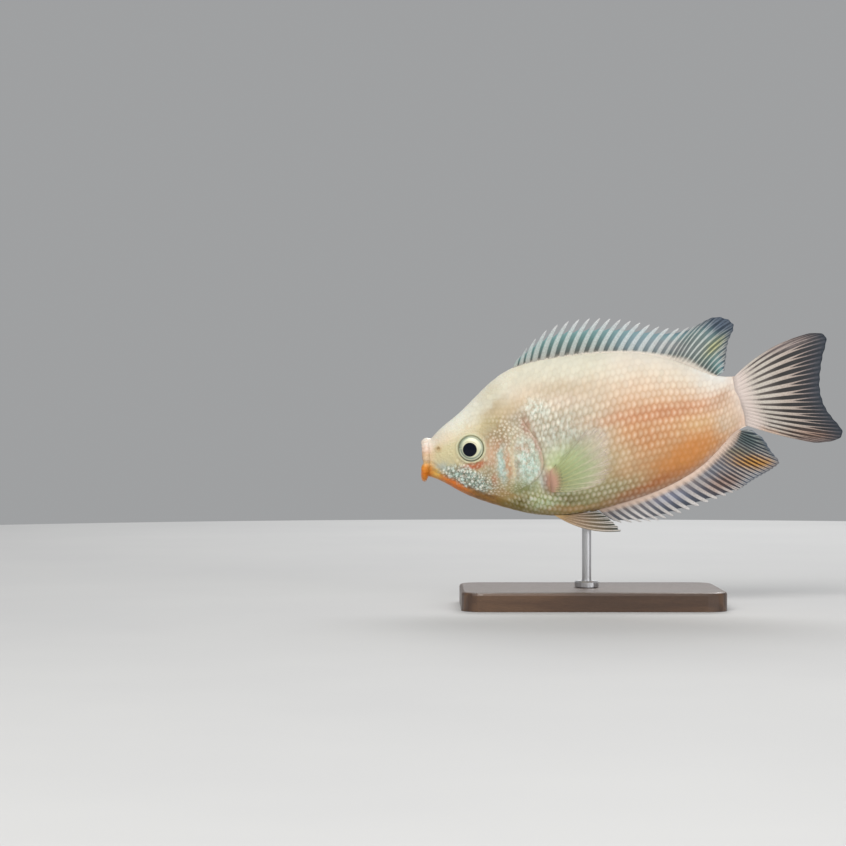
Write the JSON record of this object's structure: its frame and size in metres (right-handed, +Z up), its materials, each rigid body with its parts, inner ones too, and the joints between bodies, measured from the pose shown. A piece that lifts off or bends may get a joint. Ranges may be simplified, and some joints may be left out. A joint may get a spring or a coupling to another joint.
{
  "type": "kissing gourami fish model on a display stand",
  "caption": "Life-size still model of a kissing gourami: a deep, narrow fish with thick folded lips and spiny fins, held up by one rod on a flat base.",
  "frame": {"origin": "centre of the underside of the stand's base level, halfway along the fish's total length", "axes": "-X towards the fish's mouth, +X towards its tail fin, -Y towards its left flank, +Z up"},
  "size_m": [0.1821, 0.066, 0.1247],
  "materials": {
    "skin_head": "moist scaled skin, satin",
    "skin_body": "moist scaled skin, satin and pearly",
    "skin_tail": "moist scaled skin, satin",
    "gill_cover": "pearly skin over bone",
    "lip": "soft folded flesh",
    "eye": "wet and glossy",
    "fin": "thin translucent membrane over rays",
    "stand_wood": "dark satin wood",
    "stand_metal": "brushed"
  },
  "bodies": {
    "root": {"head": "skin_head", "torso": "skin_body", "tail": "skin_tail", "gill_cover_left": "gill_cover", "gill_cover_right": "gill_cover", "eye_left": "eye", "eye_right": "eye", "upper_lip": "lip", "lower_lip": "lip", "dorsal_fin": "fin", "anal_fin": "fin", "caudal_fin": "fin", "pectoral_fin_left": "fin", "pectoral_fin_right": "fin", "pelvic_fin_left": "fin", "pelvic_fin_right": "fin", "stand_base": "stand_wood", "stand_rod": "stand_metal", "stand_collar": "stand_metal"}
  },
  "joints": []
}
